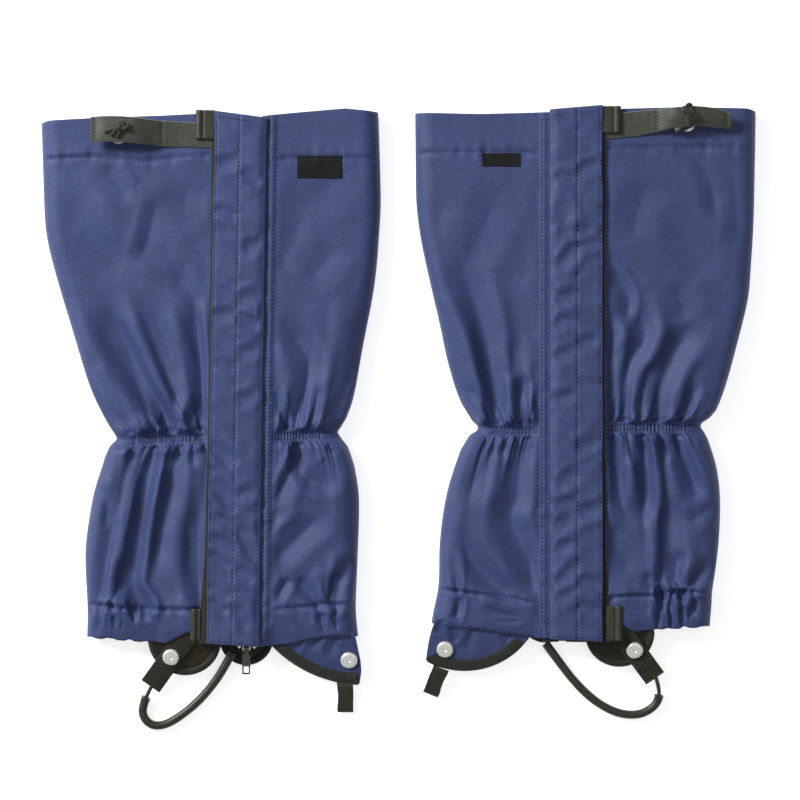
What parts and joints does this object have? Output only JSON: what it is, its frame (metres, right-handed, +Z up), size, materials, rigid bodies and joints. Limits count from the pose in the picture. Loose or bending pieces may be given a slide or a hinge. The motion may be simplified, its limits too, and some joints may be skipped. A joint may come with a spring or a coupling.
{
  "type": "mountaineering gaiters",
  "caption": "Pair of long fabric mountaineering gaiters laid flat, with zips under storm flaps, drawcord top hems with cord locks, lace tongues and corded instep straps.",
  "frame": {"origin": "middle of the pair, on the surface it lies on, measured without the instep cords", "axes": "+X across the pair from the left gaiter to the right, +Y from the boot openings to the top hems, +Z up from the surface"},
  "size_m": [0.5378, 0.4705, 0.0366],
  "materials": {
    "navy_nylon": "woven nylon, satin",
    "coated_strap": "coated fabric strap, matt",
    "black_webbing": "ribbed webbing",
    "binding_tape": "grosgrain tape",
    "zip_tape": "woven zip tape",
    "closure_tape": "hook-and-loop pile",
    "zip_teeth": "moulded teeth",
    "slider_metal": "black enamelled casting",
    "cord": "braided cord",
    "tube_rubber": "smooth rubber tube",
    "lock_plastic": "grey moulded plastic",
    "rivet_metal": "nickel plated",
    "elastic": "woven elastic",
    "label": "woven label, blank"
  },
  "bodies": {
    "left_gaiter": {"left_back_panel": "navy_nylon", "left_outer_panel": "navy_nylon", "left_inner_panel": "navy_nylon", "left_elastics": "elastic", "left_label": "label", "left_loop_tape": "closure_tape", "left_edge_tabs": "coated_strap", "left_zip_tapes": "zip_tape", "left_zip_teeth": "zip_teeth", "left_strap_base": "coated_strap", "left_cord_lock_barrel": "lock_plastic", "left_cord_lock_spring": "rivet_metal", "left_hem_eyelet": "rivet_metal", "left_drawcord": "cord", "left_lace_tongue": "navy_nylon", "left_edge_bindings": "binding_tape", "left_instep_patches": "black_webbing", "left_instep_webbing": "black_webbing", "left_rivets": "rivet_metal", "left_lace_hook": "rivet_metal"},
    "left_flap": {"left_storm_flap": "navy_nylon", "left_hook_tape": "closure_tape"},
    "left_slider": {"left_zip_slider": "slider_metal"},
    "left_pull": {"left_zip_pull": "slider_metal"},
    "left_strap": {"left_strap_tab": "coated_strap", "left_drawcord_knot": "cord"},
    "left_lock_button": {"left_cord_lock_plunger": "lock_plastic"},
    "left_tongue_loop": {"left_pull_loop": "black_webbing"},
    "left_instep_loop": {"left_instep_cord": "cord", "left_instep_tube": "tube_rubber"},
    "right_gaiter": {"right_back_panel": "navy_nylon", "right_outer_panel": "navy_nylon", "right_inner_panel": "navy_nylon", "right_elastics": "elastic", "right_label": "label", "right_loop_tape": "closure_tape", "right_edge_tabs": "coated_strap", "right_zip_tapes": "zip_tape", "right_zip_teeth": "zip_teeth", "right_strap_base": "coated_strap", "right_cord_lock_barrel": "lock_plastic", "right_cord_lock_spring": "rivet_metal", "right_hem_eyelet": "rivet_metal", "right_drawcord": "cord", "right_lace_tongue": "navy_nylon", "right_edge_bindings": "binding_tape", "right_instep_patches": "black_webbing", "right_instep_webbing": "black_webbing", "right_rivets": "rivet_metal", "right_lace_hook": "rivet_metal"},
    "right_flap": {"right_storm_flap": "navy_nylon", "right_hook_tape": "closure_tape"},
    "right_slider": {"right_zip_slider": "slider_metal"},
    "right_pull": {"right_zip_pull": "slider_metal"},
    "right_strap": {"right_strap_tab": "coated_strap", "right_drawcord_knot": "cord"},
    "right_lock_button": {"right_cord_lock_plunger": "lock_plastic"},
    "right_tongue_loop": {"right_pull_loop": "black_webbing"},
    "right_instep_loop": {"right_instep_cord": "cord", "right_instep_tube": "tube_rubber"}
  },
  "joints": [
    {"name": "pair_spread", "type": "slide", "parent": "left_gaiter", "child": "right_gaiter", "axis": [1, 0, 0], "range_m": [0, 0.15]},
    {"name": "left_flap_hinge", "type": "hinge", "parent": "left_gaiter", "child": "left_flap", "pos_m": [-0.10064, 0.022, 0.0236], "axis": [0.0152, 0.9999, 0], "range_deg": [0, 170]},
    {"name": "left_zip_slide", "type": "slide", "parent": "left_gaiter", "child": "left_slider", "axis": [0.0152, 0.9999, 0], "range_m": [0, 0.37]},
    {"name": "left_pull_swing", "type": "hinge", "parent": "left_slider", "child": "left_pull", "pos_m": [-0.1137, -0.17943, 0.0222], "axis": [-0.9999, 0.0152, 0], "range_deg": [-60, 95]},
    {"name": "left_drawcord_pull", "type": "slide", "parent": "left_gaiter", "child": "left_strap", "axis": [0, 0, 1], "range_m": [0, 0.015]},
    {"name": "left_lock_press", "type": "slide", "parent": "left_gaiter", "child": "left_lock_button", "axis": [-1, 0, 0], "range_m": [0, 0.0025], "stiffness_N_per_m": 300, "deforming": ["left_cord_lock_spring"]},
    {"name": "left_instep_swing", "type": "hinge", "parent": "left_gaiter", "child": "left_instep_loop", "pos_m": [-0.1856, -0.20803, 0.0073], "axis": [-0.9232, -0.3842, 0.0091], "range_deg": [0, 85]},
    {"name": "left_loop_swing", "type": "hinge", "parent": "left_gaiter", "child": "left_tongue_loop", "pos_m": [-0.04, -0.20983, 0.005], "axis": [-1, 0, 0], "range_deg": [0, 120]},
    {"name": "right_flap_hinge", "type": "hinge", "parent": "right_gaiter", "child": "right_flap", "pos_m": [0.1126, 0.02367, 0.0236], "axis": [0, -1, 0], "range_deg": [0, 170]},
    {"name": "right_zip_slide", "type": "slide", "parent": "right_gaiter", "child": "right_slider", "axis": [0, 1, 0], "range_m": [-0.018, 0.345]},
    {"name": "right_pull_swing", "type": "hinge", "parent": "right_slider", "child": "right_pull", "pos_m": [0.1226, -0.15433, 0.0222], "axis": [-1, 0, 0], "range_deg": [-3, 2]},
    {"name": "right_drawcord_pull", "type": "slide", "parent": "right_gaiter", "child": "right_strap", "axis": [0, 0, 1], "range_m": [0, 0.015]},
    {"name": "right_lock_press", "type": "slide", "parent": "right_gaiter", "child": "right_lock_button", "axis": [0.9063, 0.4226, 0], "range_m": [0, 0.0025], "stiffness_N_per_m": 300, "deforming": ["right_cord_lock_spring"]},
    {"name": "right_instep_swing", "type": "hinge", "parent": "right_gaiter", "child": "right_instep_loop", "pos_m": [0.1935, -0.20173, 0.0074], "axis": [-0.9562, 0.2925, -0.0081], "range_deg": [0, 85]},
    {"name": "right_loop_swing", "type": "hinge", "parent": "right_gaiter", "child": "right_tongue_loop", "pos_m": [0.0305, -0.19823, 0.008], "axis": [-0.9336, 0.3584, 0], "range_deg": [0, 120]}
  ]
}
